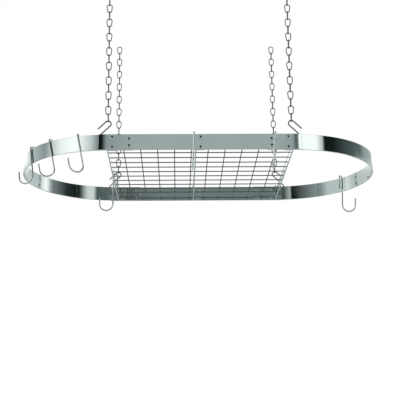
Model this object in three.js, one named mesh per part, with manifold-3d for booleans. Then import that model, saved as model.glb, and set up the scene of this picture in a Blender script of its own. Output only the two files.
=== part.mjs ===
// Hanging pot rack: an oval of flat steel strip with a wire shelf, hung on four link chains.
// Millimetres. +X to the right, +Y to the rear, +Z up.
// The part's origin is the middle of the four places where the chains hang from the ceiling.
import * as THREE from 'three';
import { mergeVertices } from 'three/addons/utils/BufferGeometryUtils.js';
import Module from 'manifold-3d';

const wasm = await Module();
wasm.setup();
const { Manifold, Mesh: SolidMesh } = wasm;

// ---- Driving dimensions: the oval band ----
const RACK_LENGTH = 838;
const RACK_WIDTH = 432;
const BAND_HEIGHT = 36;
const BAND_THICKNESS = 3;
const BAR_WRAP = 18.7;          // how far in X a bar's end follows the curve that lies behind it
const LEG_LENGTH = 58.3;        // straight part of a curved end, behind the bar
const LAYER_GAP = 0.3;          // between two strips that lie against each other

// ---- Driving dimensions: the three cross rails ----
const SIDE_RAIL_INSET = 1.3;    // from the place where the band starts to curve
const CENTRE_RAIL_X = -10;
const RAIL_THICKNESS = 3;
const RAIL_STRIP_HEIGHT = 13;
const EAR_DROP = 2;             // from the band's top edge to the top of the ears
const EAR_LENGTH = 19.4;        // from the low strip to the face of a side rail's tab
const EAR_SHOULDER_RUN = 2;     // the slope between the low strip and the tall ear
const TAB_WIDTH = 20;
const BEND_RADIUS = 4;

// ---- Driving dimensions: the wire shelf ----
const LONG_WIRE_DIAMETER = 2.5;
const CROSS_WIRE_DIAMETER = 2.5;
const EDGE_WIRE_INSET = 5;      // from the start of the ears to the outermost long wires
const LONG_WIRES_PER_SIDE = 5;
const END_CELL_LENGTH = 33.1;   // from a side rail to the first cross wire that isn't on it
const CROSS_WIRES_PER_SIDE = 5;
const WIRE_OVERHANG = 3.5;      // how far a wire runs past the last wire that it crosses
const WELD_DEPTH = 0.3;
const GRID_SEAT_GAP = 0.3;

// ---- Driving dimensions: bolts ----
const BOLT_SHANK_DIAMETER = 4;
const BOLT_HOLE_CLEARANCE = 0.3;
const BOLT_HEAD_DIAMETER = 8;
const BOLT_HEAD_HEIGHT = 2.3;
const BOLT_DOME_DIAMETER = 7.04;
const BOLT_EDGE_HEIGHT = 1.38;  // of the head's side, below its dome
const NUT_DIAMETER = 8;
const NUT_HEIGHT = 3.2;
const BOLT_SEAT_GAP = 0.25;
const BOLT_DROP = 1.5;          // from the middle of the band to the middle of a pair of bolts
const RAIL_BOLT_MARGIN = 4.75;  // from the band's bottom edge to a rail's lower bolt
const LEG_BOLT_MARGIN = 8.75;
const RAIL_BOLT_OFFSET = 10.5;  // from the rail's middle plane to its bolts
const LEG_BOLT_OFFSET = 9.5;    // from the end of the leg to its bolts

// ---- Driving dimensions: chains ----
const LINK_WIRE_DIAMETER = 2.4;
const LINK_LENGTH = 22.45;      // outside, along the chain
const LINK_WIDTH = 14.4;        // outside, at the wide top end
const LINK_FOOT_WIDTH = 12;     // outside, at the narrow bottom end
const LINKS_PER_CHAIN = 20;
const LINK_CONTACT = 0.15;      // depth to which links of one length bed into each other
const PIVOT_GAP = 0.3;          // clearance where one hooked piece turns in another
const HANG_INSET = 17.5;        // from the band's outer face to the chains

// ---- Driving dimensions: S-hooks between chains and rails ----
const S_WIRE_DIAMETER = 3;
const S_UPPER_RADIUS = 6.8;
const S_LOWER_RADIUS = 11.2;
const S_SHANK_LENGTH = 34;
const S_UPPER_LEG = 25;
const S_LOWER_LEG = 14;
const S_LEAN_ANGLE = 44;        // degrees from level
const EAR_HOLE_DIAMETER = 8.6;
const EAR_HOLE_DROP = 8.9;      // from the top of the ear to the middle of its eye

// ---- Driving dimensions: pot hooks ----
const HOOK_WIRE_DIAMETER = 3.4;
const HOOK_THROAT = 7;          // clear width of the bend that straddles the band
const HOOK_SHANK = 70.8;
const HOOK_INNER_LEG = 30;
const HOOK_RADIUS = 16.2;
const HOOK_TIP_RISE = 18.2;
const HOOK_SEAT_GAP = 0.3;
const HOOK_TWIST_ANGLE = 45;    // degrees between a twisted hook's bowl and the band's outward normal

// ---- Driving dimensions: where the pot hooks hang; each lean is in degrees from upright ----
const LEFT_HOOK_ANGLES = [57.9, 38, 17.8];   // degrees round the left end, from the front
const LEFT_HOOK_LEAN_ANGLES = [15, 15, 12];
const CENTRE_HOOK_OFFSET = 3.8;              // to the left of the centre rail
const CENTRE_HOOK_LEAN_ANGLE = -2.5;
const FRONT_HOOK_OFFSET = 9.2;               // to the right of the right leg's bolts
const FRONT_HOOK_LEAN_ANGLE = -6;
const RIGHT_HOOK_ANGLE = 130;                // degrees round the right end, from the front
const RIGHT_HOOK_LEAN_ANGLE = 2;
const RAIL_HOOK_Y = 50;

// ---- Facets of round forms ----
const ARC_SEGMENTS = 34;        // round each curved end
const BEND_SEGMENTS = 3;        // round the bend of a rail's tab, and along a bar's wrapped end
const EYE_SIDES = 12;
const BOLT_SIDES = 6;
const BOLT_HOLE_SIDES = 8;
const GRID_SIDES = 6;           // a shelf wire's section has a corner pointing down
const LINK_SIDES = 5;
const LINK_CORNERS = 4;         // in each of a link's two bends
const HOOK_SIDES = 6;
const S_UPPER_STEPS = 6;
const S_LOWER_STEPS = 7;
const HOOK_TOP_STEPS = 5;
const HOOK_BOWL_STEPS = 8;

// ---- Worked out from the driving dimensions ----
const BAR_OUTER_Y = RACK_WIDTH / 2;
const BAR_INNER_Y = BAR_OUTER_Y - BAND_THICKNESS;
const END_OUTER_RADIUS = BAR_INNER_Y - LAYER_GAP;
const END_INNER_RADIUS = END_OUTER_RADIUS - BAND_THICKNESS;
const ARC_X = RACK_LENGTH / 2 - END_OUTER_RADIUS;
const LEG_END_X = ARC_X - LEG_LENGTH;
const LEG_BOLT_X = LEG_END_X + LEG_BOLT_OFFSET;
const SIDE_RAIL_X = ARC_X - SIDE_RAIL_INSET;
const RAIL_EAR_HEIGHT = BAND_HEIGHT - EAR_DROP;
const EAR_HOLE_Z = RAIL_EAR_HEIGHT - EAR_HOLE_DROP;
const BOLT_MIDDLE_Z = BAND_HEIGHT / 2 - BOLT_DROP;
const RAIL_BOLT_SPACING = 2 * (BOLT_MIDDLE_Z - RAIL_BOLT_MARGIN);
const LEG_BOLT_SPACING = 2 * (BOLT_MIDDLE_Z - LEG_BOLT_MARGIN);
const SIDE_TAB_Y = END_INNER_RADIUS - LAYER_GAP;
const CENTRE_TAB_Y = BAR_INNER_Y - LAYER_GAP;
const EAR_START_Y = SIDE_TAB_Y - EAR_LENGTH;
const HANG_Y = BAR_OUTER_Y - HANG_INSET;
const HALF_LINK = (LINK_LENGTH - LINK_WIRE_DIAMETER) / 2;
const FUSED_PITCH = 2 * HALF_LINK - LINK_WIRE_DIAMETER + LINK_CONTACT;
const PIVOT_PITCH = 2 * HALF_LINK - LINK_WIRE_DIAMETER - PIVOT_GAP;
const S_REACH = (S_WIRE_DIAMETER + LINK_WIRE_DIAMETER) / 2 + PIVOT_GAP;
const LONG_WIRE_PITCH = (EAR_START_Y - EDGE_WIRE_INSET) / LONG_WIRES_PER_SIDE;
const CROSS_WIRE_PITCH = (SIDE_RAIL_X - END_CELL_LENGTH) / (CROSS_WIRES_PER_SIDE - 0.5);
const LONG_WIRE_Z = RAIL_STRIP_HEIGHT + GRID_SEAT_GAP + LONG_WIRE_DIAMETER / 2;
const CROSS_WIRE_Z = LONG_WIRE_Z + (LONG_WIRE_DIAMETER + CROSS_WIRE_DIAMETER) / 2 - WELD_DEPTH;
const LONG_WIRE_HALF = SIDE_RAIL_X + CROSS_WIRE_DIAMETER / 2;
const CROSS_WIRE_HALF = LONG_WIRES_PER_SIDE * LONG_WIRE_PITCH + WIRE_OVERHANG;

// ---- Materials ----
function steel(color, roughness) {
  return new THREE.MeshStandardMaterial({ color, roughness, metalness: 1 });
}
const bandSteel = steel(0x96a7a4, 0.16);
const railSteel = steel(0x8f9a99, 0.24);
const wireSteel = steel(0x9aa2a2, 0.22);
const chainSteel = steel(0xb4bab9, 0.2);
const hookSteel = steel(0xc2c8c7, 0.14);
const boltSteel = steel(0x7d8584, 0.28);

// ---- Solids: joining and cutting ----
function toSolid(geometry) {
  const bare = geometry.clone();
  bare.deleteAttribute('normal');
  bare.deleteAttribute('uv');
  const merged = mergeVertices(bare, 1e-4);
  return new Manifold(new SolidMesh({
    numProp: 3,
    vertProperties: new Float32Array(merged.attributes.position.array),
    triVerts: new Uint32Array(merged.index.array),
  }));
}

function toGeometry(solid) {
  const mesh = solid.getMesh();
  const geometry = new THREE.BufferGeometry();
  geometry.setAttribute('position', new THREE.BufferAttribute(mesh.vertProperties, 3));
  geometry.setIndex(new THREE.BufferAttribute(mesh.triVerts, 1));
  geometry.computeVertexNormals();
  return geometry;
}

function join(geometries) {
  return geometries.map(toSolid).reduce((whole, next) => whole.add(next));
}

function cut(solid, cutters) {
  return cutters.reduce((rest, cutter) => rest.subtract(toSolid(cutter)), solid);
}

const rack = new THREE.Group();

function addPiece(parent, name, geometry, material) {
  const mesh = new THREE.Mesh(geometry, material);
  mesh.name = name;
  parent.add(mesh);
  return mesh;
}

// ---- Wires: a round section carried along a list of stations ----
// Each step of the sweep lands on one station, so bends get stations and straight runs get none.
class WirePath extends THREE.Curve {
  constructor(stations) {
    super();
    this.stations = stations;
  }

  getPoint(t) {
    const place = Math.min(Math.max(t, 0), 1) * (this.stations.length - 1);
    const start = Math.min(Math.floor(place + 1e-9), this.stations.length - 2);
    return this.stations[start].clone().lerp(this.stations[start + 1], place - start);
  }

  getPointAt(t) {
    return this.getPoint(t);
  }

  getTangentAt(t) {
    const last = this.stations.length - 1;
    const at = Math.round(t * last);
    const before = this.stations[Math.max(at - 1, 0)];
    const after = this.stations[Math.min(at + 1, last)];
    const here = this.stations[at];
    const arriving = here.clone().sub(before).normalize();
    const leaving = after.clone().sub(here).normalize();
    return arriving.add(leaving).normalize();
  }
}

function polygon(radius, sides) {
  const points = [];
  for (let i = 0; i < sides; i += 1) {
    const angle = (2 * Math.PI * (i + 0.5)) / sides;
    points.push(new THREE.Vector2(radius * Math.cos(angle), radius * Math.sin(angle)));
  }
  return new THREE.Shape(points);
}

function bentWire(stations, diameter) {
  return new THREE.ExtrudeGeometry(polygon(diameter / 2, HOOK_SIDES), {
    steps: stations.length - 1,
    extrudePath: new WirePath(stations),
    bevelEnabled: false,
  });
}

// Stations round an arc in the plane of two unit vectors, from one angle to another in degrees.
function arcStations(centre, u, v, radius, from, to, steps) {
  const stations = [];
  for (let i = 0; i <= steps; i += 1) {
    const angle = THREE.MathUtils.degToRad(from + ((to - from) * i) / steps);
    stations.push(centre.clone()
      .addScaledVector(u, radius * Math.cos(angle))
      .addScaledVector(v, radius * Math.sin(angle)));
  }
  return stations;
}

const vec = (x, y, z) => new THREE.Vector3(x, y, z);

// ---- Bolts: one revolved solid holds the head, the shank and the nut on its end ----
function boltHole(length) {
  const radius = BOLT_SHANK_DIAMETER / 2 + BOLT_HOLE_CLEARANCE;
  return new THREE.CylinderGeometry(radius, radius, length, BOLT_HOLE_SIDES);
}

function boltGeometry(grip) {
  const shank = BOLT_SHANK_DIAMETER / 2;
  const head = BOLT_HEAD_DIAMETER / 2;
  const under = grip / 2 + BOLT_SEAT_GAP;
  const profile = [
    [0, -under - NUT_HEIGHT],
    [NUT_DIAMETER / 2, -under - NUT_HEIGHT],
    [NUT_DIAMETER / 2, -under],
    [shank, -under],
    [shank, under],
    [head, under],
    [BOLT_DOME_DIAMETER / 2, under + BOLT_EDGE_HEIGHT],
    [0, under + BOLT_HEAD_HEIGHT],
  ];
  return new THREE.LatheGeometry(profile.map(([r, y]) => new THREE.Vector2(r, y)), BOLT_SIDES);
}

function boltPlaces() {
  const places = [];
  const rails = [
    { name: 'left_rail', x: -SIDE_RAIL_X + RAIL_BOLT_OFFSET, inner: SIDE_TAB_Y },
    { name: 'centre_rail', x: CENTRE_RAIL_X + RAIL_BOLT_OFFSET, inner: CENTRE_TAB_Y },
    { name: 'right_rail', x: SIDE_RAIL_X - RAIL_BOLT_OFFSET, inner: SIDE_TAB_Y },
  ];
  for (const { name, x, inner } of rails) {
    places.push({ name, x, spacing: RAIL_BOLT_SPACING, inner: inner - RAIL_THICKNESS });
  }
  for (const [name, x] of [['left_leg', -LEG_BOLT_X], ['right_leg', LEG_BOLT_X]]) {
    places.push({ name, x, spacing: LEG_BOLT_SPACING, inner: END_INNER_RADIUS });
  }
  return places;
}

function addBolts(parent) {
  for (const [side, sign] of [['front', -1], ['rear', 1]]) {
    for (const { name, x, spacing, inner } of boltPlaces()) {
      for (const [level, up] of [['lower', -0.5], ['upper', 0.5]]) {
        const bolt = addPiece(parent, `bolt_${side}_${name}_${level}`,
          boltGeometry(BAR_OUTER_Y - inner), boltSteel);
        bolt.rotation.x = sign < 0 ? Math.PI : 0;
        bolt.position.set(x, (sign * (BAR_OUTER_Y + inner)) / 2, BOLT_MIDDLE_Z + up * spacing);
      }
    }
  }
}

// Holes for every bolt within a stretch of X, through any strip between the two given faces.
function bandHoles(lowX, highX, faceY) {
  const holes = [];
  for (const { x, spacing } of boltPlaces()) {
    if (x < lowX || x > highX) continue;
    for (const up of [-0.5, 0.5]) {
      const hole = boltHole(4 * BAND_THICKNESS);
      hole.translate(x, faceY, BOLT_MIDDLE_Z + up * spacing);
      holes.push(hole);
    }
  }
  return holes;
}

// ---- The oval band: two long bars, and two curved ends whose legs lie behind them ----
function barGeometry(sign) {
  const front = -Math.PI / 2;
  const wrap = Math.asin(BAR_WRAP / BAR_OUTER_Y);
  const plan = new THREE.Shape();
  plan.moveTo(-ARC_X, -BAR_OUTER_Y);
  plan.absarc(ARC_X, 0, BAR_OUTER_Y, front, front + wrap, false);
  plan.absarc(ARC_X, 0, BAR_INNER_Y, front + wrap, front, true);
  plan.absarc(-ARC_X, 0, BAR_INNER_Y, front, front - wrap, true);
  plan.absarc(-ARC_X, 0, BAR_OUTER_Y, front - wrap, front, false);
  const bar = new THREE.ExtrudeGeometry(plan, {
    depth: BAND_HEIGHT,
    curveSegments: BEND_SEGMENTS,
    bevelEnabled: false,
  });
  if (sign > 0) bar.rotateZ(Math.PI);
  const middle = sign * (BAR_OUTER_Y - BAND_THICKNESS / 2);
  return toGeometry(cut(toSolid(bar), bandHoles(-ARC_X, ARC_X, middle)));
}

function endGeometry(sign) {
  const quarter = Math.PI / 2;
  const outline = new THREE.Shape();
  outline.moveTo(LEG_END_X, -END_OUTER_RADIUS);
  outline.lineTo(ARC_X, -END_OUTER_RADIUS);
  outline.absarc(ARC_X, 0, END_OUTER_RADIUS, -quarter, quarter, false);
  outline.lineTo(LEG_END_X, END_OUTER_RADIUS);
  outline.lineTo(LEG_END_X, END_INNER_RADIUS);
  outline.lineTo(ARC_X, END_INNER_RADIUS);
  outline.absarc(ARC_X, 0, END_INNER_RADIUS, quarter, -quarter, true);
  outline.lineTo(LEG_END_X, -END_INNER_RADIUS);
  const strip = new THREE.ExtrudeGeometry(outline, {
    depth: BAND_HEIGHT,
    curveSegments: ARC_SEGMENTS / 2,
    bevelEnabled: false,
  });
  const legMiddle = (END_OUTER_RADIUS + END_INNER_RADIUS) / 2;
  const holes = [-legMiddle, legMiddle].flatMap((y) => bandHoles(LEG_END_X, ARC_X, y));
  const end = toGeometry(cut(toSolid(strip), holes));
  if (sign < 0) end.rotateZ(Math.PI);
  return end;
}

// ---- Cross rails: a strip on edge, with tall ears and a bent, bolted tab at both ends ----
function railPlan(tabY) {
  const half = RAIL_THICKNESS / 2;
  const inner = BEND_RADIUS - RAIL_THICKNESS;
  const tabEnd = TAB_WIDTH - half;
  const plan = new THREE.Shape();
  plan.moveTo(-half, -tabY + BEND_RADIUS);
  plan.absarc(-half + BEND_RADIUS, -tabY + BEND_RADIUS, BEND_RADIUS, Math.PI, 1.5 * Math.PI, false);
  plan.lineTo(tabEnd, -tabY);
  plan.lineTo(tabEnd, -tabY + RAIL_THICKNESS);
  plan.lineTo(half + inner, -tabY + RAIL_THICKNESS);
  plan.lineTo(half, -tabY + BEND_RADIUS);
  plan.lineTo(half, tabY - BEND_RADIUS);
  plan.lineTo(half + inner, tabY - RAIL_THICKNESS);
  plan.lineTo(tabEnd, tabY - RAIL_THICKNESS);
  plan.lineTo(tabEnd, tabY);
  plan.lineTo(-half + BEND_RADIUS, tabY);
  plan.absarc(-half + BEND_RADIUS, tabY - BEND_RADIUS, BEND_RADIUS, Math.PI / 2, Math.PI, false);
  return plan;
}

// The window above the low strip, with a sloping shoulder up to each ear.
function railWindow() {
  const window = new THREE.Shape();
  window.moveTo(-EAR_START_Y + EAR_SHOULDER_RUN, RAIL_STRIP_HEIGHT);
  window.lineTo(EAR_START_Y - EAR_SHOULDER_RUN, RAIL_STRIP_HEIGHT);
  window.lineTo(EAR_START_Y, RAIL_STRIP_HEIGHT + EAR_SHOULDER_RUN);
  window.lineTo(EAR_START_Y, 2 * RAIL_EAR_HEIGHT);
  window.lineTo(-EAR_START_Y, 2 * RAIL_EAR_HEIGHT);
  window.lineTo(-EAR_START_Y, RAIL_STRIP_HEIGHT + EAR_SHOULDER_RUN);
  const cutter = new THREE.ExtrudeGeometry(window, { depth: 4 * RAIL_THICKNESS, bevelEnabled: false });
  cutter.translate(0, 0, -2 * RAIL_THICKNESS);
  cutter.rotateX(Math.PI / 2);
  cutter.rotateZ(Math.PI / 2);
  return cutter;
}

function railGeometry(tabY, tabSide) {
  const sheet = new THREE.ExtrudeGeometry(railPlan(tabY), {
    depth: RAIL_EAR_HEIGHT,
    curveSegments: BEND_SEGMENTS,
    bevelEnabled: false,
  });
  const cutters = [railWindow()];
  for (const sign of [-1, 1]) {
    const eye = new THREE.CylinderGeometry(EAR_HOLE_DIAMETER / 2, EAR_HOLE_DIAMETER / 2,
      4 * RAIL_THICKNESS, EYE_SIDES);
    eye.rotateZ(Math.PI / 2);
    eye.translate(0, sign * HANG_Y, EAR_HOLE_Z);
    cutters.push(eye);
    for (const up of [-0.5, 0.5]) {
      const hole = boltHole(4 * RAIL_THICKNESS);
      hole.translate(RAIL_BOLT_OFFSET, sign * tabY, BOLT_MIDDLE_Z + up * RAIL_BOLT_SPACING);
      cutters.push(hole);
    }
  }
  const rail = toGeometry(cut(toSolid(sheet), cutters));
  if (tabSide < 0) rail.rotateZ(Math.PI);
  return rail;
}

// ---- Wire shelf: long wires on the rails, cross wires welded on top of them ----
function gridWire(length, diameter, direction) {
  const wire = new THREE.CylinderGeometry(diameter / 2, diameter / 2, length, GRID_SIDES);
  if (direction === 'x') wire.rotateZ(Math.PI / 2);
  return wire;
}

function gridGeometry() {
  const wires = [];
  for (let i = -LONG_WIRES_PER_SIDE; i <= LONG_WIRES_PER_SIDE; i += 1) {
    const wire = gridWire(2 * LONG_WIRE_HALF, LONG_WIRE_DIAMETER, 'x');
    wire.translate(0, i * LONG_WIRE_PITCH, LONG_WIRE_Z);
    wires.push(wire);
  }
  const crossPlaces = [-SIDE_RAIL_X, SIDE_RAIL_X];
  for (let i = 0; i < CROSS_WIRES_PER_SIDE; i += 1) {
    const x = (i + 0.5) * CROSS_WIRE_PITCH;
    crossPlaces.push(-x, x);
  }
  for (const x of crossPlaces) {
    const wire = gridWire(2 * CROSS_WIRE_HALF, CROSS_WIRE_DIAMETER, 'y');
    wire.translate(x, 0, CROSS_WIRE_Z);
    wires.push(wire);
  }
  return toGeometry(join(wires));
}

// ---- Chain links: a closed egg-shaped ring, wide at the top and narrower at the foot ----
// Each corner of the ring's path lies outside the true arc, so the flats touch it.
function linkCorners() {
  const corners = [];
  const top = (LINK_WIDTH - LINK_WIRE_DIAMETER) / 2;
  const foot = (LINK_FOOT_WIDTH - LINK_WIRE_DIAMETER) / 2;
  const turn = Math.PI / (2 * LINK_CORNERS);
  for (const [radius, middle, first] of [
    [top, HALF_LINK - top, 1],
    [foot, foot - HALF_LINK, 2 * LINK_CORNERS + 1],
  ]) {
    for (let i = 0; i < LINK_CORNERS; i += 1) {
      const angle = (first + 2 * i) * turn;
      const reach = radius / Math.cos(turn);
      corners.push({
        x: reach * Math.cos(angle),
        z: middle + reach * Math.sin(angle),
        out: angle,
        stretch: 1 / Math.cos(turn),
      });
    }
  }
  return corners;
}

function linkGeometry() {
  const positions = [];
  const triangles = [];
  const corners = linkCorners();
  for (const { x, z, out, stretch } of corners) {
    for (let i = 0; i < LINK_SIDES; i += 1) {
      const angle = Math.PI + (2 * Math.PI * i) / LINK_SIDES;
      const away = (LINK_WIRE_DIAMETER / 2) * Math.cos(angle) * stretch;
      const side = (LINK_WIRE_DIAMETER / 2) * Math.sin(angle);
      positions.push(x + away * Math.cos(out), side, z + away * Math.sin(out));
    }
  }
  for (let ring = 0; ring < corners.length; ring += 1) {
    const next = (ring + 1) % corners.length;
    for (let i = 0; i < LINK_SIDES; i += 1) {
      const j = (i + 1) % LINK_SIDES;
      const [a, b] = [ring * LINK_SIDES + i, ring * LINK_SIDES + j];
      const [c, d] = [next * LINK_SIDES + i, next * LINK_SIDES + j];
      triangles.push(a, b, c, b, d, c);
    }
  }
  const geometry = new THREE.BufferGeometry();
  geometry.setAttribute('position', new THREE.Float32BufferAttribute(positions, 3));
  geometry.setIndex(triangles);
  geometry.computeVertexNormals();
  return geometry;
}

// Links stand alternately face-on and edge-on to the front: odd numbers are edge-on.
function placedLink(number, z) {
  const link = linkGeometry();
  if (number % 2 === 1) link.rotateZ(Math.PI / 2);
  link.translate(0, 0, z);
  return link;
}

// Height of each link's middle above the foot of the lowest link's centreline.
function linkHeight(number) {
  const fused = Math.min(number, LINKS_PER_CHAIN - 2) - 1;
  const pivots = Math.max(number - (LINKS_PER_CHAIN - 2), 0);
  return HALF_LINK + fused * FUSED_PITCH + pivots * PIVOT_PITCH;
}

function chainGeometry() {
  const links = [];
  for (let number = 1; number <= LINKS_PER_CHAIN - 2; number += 1) {
    links.push(placedLink(number, linkHeight(number)));
  }
  return toGeometry(join(links));
}

// ---- S-hooks: the small loop hangs in the lowest link, the large one carries a rail ear ----
// Drawn in the X-Z plane about the middle of the small loop, for the left side of the rack.
function sHookGeometry(side) {
  const lean = THREE.MathUtils.degToRad(S_LEAN_ANGLE);
  const along = vec(Math.cos(lean), 0, Math.sin(lean));
  const across = vec(-Math.sin(lean), 0, Math.cos(lean));
  const upperMiddle = vec(0, 0, 0);
  const shankTop = across.clone().multiplyScalar(-S_UPPER_RADIUS);
  const shankFoot = shankTop.clone().addScaledVector(along, -S_SHANK_LENGTH);
  const lowerMiddle = shankFoot.clone().addScaledVector(across, -S_LOWER_RADIUS);
  const upperArc = arcStations(upperMiddle, along, across, S_UPPER_RADIUS, 90, -90, S_UPPER_STEPS);
  const lowerArc = arcStations(lowerMiddle, along, across, S_LOWER_RADIUS, 90, 270, S_LOWER_STEPS);
  const upperTip = upperArc[0].clone().addScaledVector(along, -S_UPPER_LEG);
  const lowerTip = lowerArc[lowerArc.length - 1].clone().addScaledVector(along, S_LOWER_LEG);
  const stations = [upperTip, ...upperArc, ...lowerArc, lowerTip];
  for (const station of stations) station.x *= -side;
  return bentWire(stations, S_WIRE_DIAMETER);
}

// ---- Pot hooks: a bend that straddles the band, a long shank outside it and a round bowl ----
// Drawn at the band's outer face and top edge, with +X away from the band. The middle of the bend
// is level with that edge, so the bend clears the corners of two strips that lie together.
function potHookGeometry(twist) {
  const out = vec(1, 0, 0);
  const up = vec(0, 0, 1);
  const half = HOOK_WIRE_DIAMETER / 2;
  const bend = (HOOK_THROAT + HOOK_WIRE_DIAMETER) / 2;
  const shankX = HOOK_SEAT_GAP + half;
  const bowlSide = vec(Math.cos(twist), Math.sin(twist), 0);
  const shankFoot = vec(shankX, 0, -HOOK_SHANK);
  const bowlMiddle = shankFoot.clone().addScaledVector(bowlSide, HOOK_RADIUS);
  const topArc = arcStations(vec(shankX - bend, 0, 0), out, up, bend, 180, 0, HOOK_TOP_STEPS);
  const bowlArc = arcStations(bowlMiddle, bowlSide, up, HOOK_RADIUS, 180, 360, HOOK_BOWL_STEPS);
  const innerTip = topArc[0].clone().addScaledVector(up, -HOOK_INNER_LEG);
  const tip = bowlArc[bowlArc.length - 1].clone().addScaledVector(up, HOOK_TIP_RISE);
  return bentWire([innerTip, ...topArc, ...bowlArc, tip], HOOK_WIRE_DIAMETER);
}

// Where each pot hook hangs: the point on the band, its outward direction, lean and twist.
function endHook(side, fromFront, lean) {
  const angle = THREE.MathUtils.degToRad(fromFront);
  const outward = vec(side * Math.sin(angle), -Math.cos(angle), 0);
  const place = outward.clone().multiplyScalar(END_OUTER_RADIUS);
  place.x += side * ARC_X;
  place.z = BAND_HEIGHT;
  return { place, outward, lean, twist: HOOK_TWIST_ANGLE };
}

function barHook(x, lean) {
  return { place: vec(x, -BAR_OUTER_Y, BAND_HEIGHT), outward: vec(0, -1, 0), lean, twist: 0 };
}

function railHook(y) {
  const top = CROSS_WIRE_Z + CROSS_WIRE_DIAMETER / 2 + HOOK_SEAT_GAP;
  const place = vec(-SIDE_RAIL_X - RAIL_THICKNESS / 2, y, top);
  return { place, outward: vec(-1, 0, 0), lean: 0, twist: 0 };
}

const POT_HOOKS = [
  ...LEFT_HOOK_ANGLES.map((angle, index) => endHook(-1, angle, LEFT_HOOK_LEAN_ANGLES[index])),
  barHook(CENTRE_RAIL_X - CENTRE_HOOK_OFFSET, CENTRE_HOOK_LEAN_ANGLE),
  barHook(LEG_BOLT_X + FRONT_HOOK_OFFSET, FRONT_HOOK_LEAN_ANGLE),
  endHook(1, RIGHT_HOOK_ANGLE, RIGHT_HOOK_LEAN_ANGLE),
  railHook(RAIL_HOOK_Y),
];

function addPotHooks(parent) {
  POT_HOOKS.forEach(({ place, outward, lean, twist }, index) => {
    const geometry = potHookGeometry(THREE.MathUtils.degToRad(-twist));
    geometry.rotateX(THREE.MathUtils.degToRad(lean));
    geometry.rotateZ(Math.atan2(outward.y, outward.x));
    const hook = addPiece(parent, `pot_hook_${index + 1}`, geometry, hookSteel);
    hook.position.copy(place);
  });
}

// ---- Assembly ----
const frame = new THREE.Group();
rack.add(frame);

addPiece(frame, 'front_bar', barGeometry(-1), bandSteel);
addPiece(frame, 'rear_bar', barGeometry(1), bandSteel);
addPiece(frame, 'left_end', endGeometry(-1), bandSteel);
addPiece(frame, 'right_end', endGeometry(1), bandSteel);

const leftRail = addPiece(frame, 'left_rail', railGeometry(SIDE_TAB_Y, 1), railSteel);
leftRail.position.x = -SIDE_RAIL_X;
const centreRail = addPiece(frame, 'centre_rail', railGeometry(CENTRE_TAB_Y, 1), railSteel);
centreRail.position.x = CENTRE_RAIL_X;
const rightRail = addPiece(frame, 'right_rail', railGeometry(SIDE_TAB_Y, -1), railSteel);
rightRail.position.x = SIDE_RAIL_X;

addPiece(frame, 'wire_grid', gridGeometry(), wireSteel);
addBolts(frame);
addPotHooks(frame);

// The large loop's free leg crosses the middle of the rail's sheet just above the eye's middle.
function sHookHeight() {
  const lean = THREE.MathUtils.degToRad(S_LEAN_ANGLE);
  const legDrop = (S_UPPER_RADIUS + 2 * S_LOWER_RADIUS) / Math.cos(lean);
  const half = S_WIRE_DIAMETER / 2;
  const wireReach = half / Math.cos(lean) + (RAIL_THICKNESS / 2) * Math.tan(lean);
  const crossing = EAR_HOLE_Z + EAR_HOLE_DIAMETER / 2 - PIVOT_GAP - wireReach;
  return crossing + legDrop;
}

function addSuspension(parent) {
  const loopZ = sHookHeight();
  const chainFoot = loopZ + S_UPPER_RADIUS - S_REACH;
  for (const [depth, sign] of [['front', -1], ['rear', 1]]) {
    for (const [hand, side] of [['left', -1], ['right', 1]]) {
      const corner = `${depth}_${hand}`;
      const line = new THREE.Group();
      line.position.set(side * SIDE_RAIL_X, sign * HANG_Y, 0);
      parent.add(line);
      const sHook = addPiece(line, `s_hook_${corner}`, sHookGeometry(side), hookSteel);
      sHook.position.z = loopZ;
      const chain = addPiece(line, `chain_${corner}`, chainGeometry(), chainSteel);
      chain.position.z = chainFoot;
      for (const [name, number] of [['upper_link', LINKS_PER_CHAIN - 1], ['top_link', LINKS_PER_CHAIN]]) {
        const link = addPiece(line, `${name}_${corner}`,
          placedLink(number, linkHeight(number)), chainSteel);
        link.position.z = chainFoot;
      }
    }
  }
  return chainFoot + linkHeight(LINKS_PER_CHAIN) + LINK_LENGTH / 2;
}

const hangHeight = addSuspension(frame);
frame.position.z = -hangHeight;

export default rack;
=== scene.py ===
"""Hanging pot rack: an oval of polished steel strip with a wire shelf, chains and wire hooks."""

import math

import bpy
from mathutils import Matrix, Vector


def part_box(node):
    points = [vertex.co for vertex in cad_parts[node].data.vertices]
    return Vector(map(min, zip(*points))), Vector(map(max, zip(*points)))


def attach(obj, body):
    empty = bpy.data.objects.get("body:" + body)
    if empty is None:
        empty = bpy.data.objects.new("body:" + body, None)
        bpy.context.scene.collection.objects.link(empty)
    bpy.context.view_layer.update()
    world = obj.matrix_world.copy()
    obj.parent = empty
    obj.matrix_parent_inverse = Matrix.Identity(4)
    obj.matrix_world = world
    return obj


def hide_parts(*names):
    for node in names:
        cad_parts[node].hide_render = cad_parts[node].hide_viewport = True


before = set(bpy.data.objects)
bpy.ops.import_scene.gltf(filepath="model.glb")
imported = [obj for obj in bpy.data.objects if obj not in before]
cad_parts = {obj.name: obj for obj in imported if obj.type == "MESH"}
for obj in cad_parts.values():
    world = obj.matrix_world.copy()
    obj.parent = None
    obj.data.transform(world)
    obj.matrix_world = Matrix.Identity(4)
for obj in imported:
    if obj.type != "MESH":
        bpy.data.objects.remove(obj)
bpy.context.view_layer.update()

# ---- The oval band, in metres; X is to the right, Y to the rear and Z up ----
BAND_THICK = 0.003
BAND_TALL = 0.036
BAND_BEVEL = 0.00045          # broken edges of the strip
END_OUTER = 0.2127            # outer radius of the curved ends
LEG_INNER_X = 0.148           # where the legs of the curved ends stop
BAND_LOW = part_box("front_bar")[0].z
BAND_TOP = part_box("front_bar")[1].z
BAR_OUTER_Y = -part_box("front_bar")[0].y
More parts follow.
